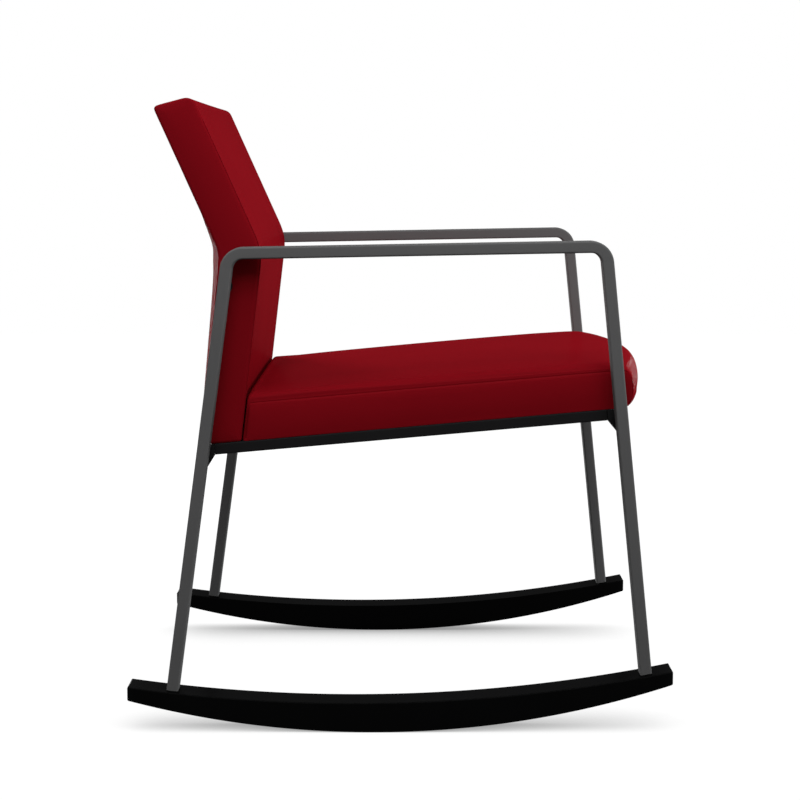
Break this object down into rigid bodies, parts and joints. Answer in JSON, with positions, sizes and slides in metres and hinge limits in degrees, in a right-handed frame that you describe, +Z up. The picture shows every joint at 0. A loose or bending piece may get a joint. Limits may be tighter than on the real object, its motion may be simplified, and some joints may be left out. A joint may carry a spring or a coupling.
{
  "type": "rocking chair",
  "caption": "Low armchair on curved runners: bent flat-tube side frames that form legs and arms, padded seat and a bent padded back between them.",
  "frame": {"origin": "on the floor under the chair, half way between the ends of the runners and half way between the sides", "axes": "+X towards the front, +Y to the sitter's left, +Z up"},
  "size_m": [0.71, 0.6328, 0.8208],
  "materials": {
    "frame_paint": "satin",
    "black_steel": "satin",
    "runner_wood": "satin",
    "vinyl": "satin",
    "plywood": "matte",
    "zinc_steel": "satin",
    "black_nylon": "matte",
    "dust_cloth": "matte"
  },
  "bodies": {
    "root": {"back_cushion": "vinyl", "back_panel": "plywood", "back_spacer_left": "black_steel", "back_spacer_right": "black_steel", "back_strap_left": "black_steel", "back_strap_right": "black_steel", "back_stud_left": "zinc_steel", "back_stud_right": "zinc_steel", "board_screw_front_left": "zinc_steel", "board_screw_front_right": "zinc_steel", "board_screw_rear_left": "zinc_steel", "board_screw_rear_right": "zinc_steel", "bracket_screw_front_lower_left": "zinc_steel", "bracket_screw_front_lower_right": "zinc_steel", "bracket_screw_front_upper_left": "zinc_steel", "bracket_screw_front_upper_right": "zinc_steel", "bracket_screw_rear_lower_left": "zinc_steel", "bracket_screw_rear_lower_right": "zinc_steel", "bracket_screw_rear_upper_left": "zinc_steel", "bracket_screw_rear_upper_right": "zinc_steel", "foot_insert_front_left": "black_nylon", "foot_insert_front_right": "black_nylon", "foot_insert_rear_left": "black_nylon", "foot_insert_rear_right": "black_nylon", "front_cross_tube": "black_steel", "leg_bracket_front_left": "black_steel", "leg_bracket_front_right": "black_steel", "leg_bracket_rear_left": "black_steel", "leg_bracket_rear_right": "black_steel", "nut_bar_front_left": "zinc_steel", "nut_bar_front_right": "zinc_steel", "nut_bar_rear_left": "zinc_steel", "nut_bar_rear_right": "zinc_steel", "rear_cross_tube": "black_steel", "runner_bolt_front_left": "zinc_steel", "runner_bolt_front_right": "zinc_steel", "runner_bolt_rear_left": "zinc_steel", "runner_bolt_rear_right": "zinc_steel", "runner_left": "runner_wood", "runner_right": "runner_wood", "seat_board": "plywood", "seat_cushion": "vinyl", "seat_dust_cover": "dust_cloth", "seat_rail_left": "black_steel", "seat_rail_right": "black_steel", "side_frame_left": "frame_paint", "side_frame_right": "frame_paint", "strap_bolt_left": "zinc_steel", "strap_bolt_right": "zinc_steel", "strap_screw_lower_left": "zinc_steel", "strap_screw_lower_right": "zinc_steel", "strap_screw_upper_left": "zinc_steel", "strap_screw_upper_right": "zinc_steel"}
  },
  "joints": []
}
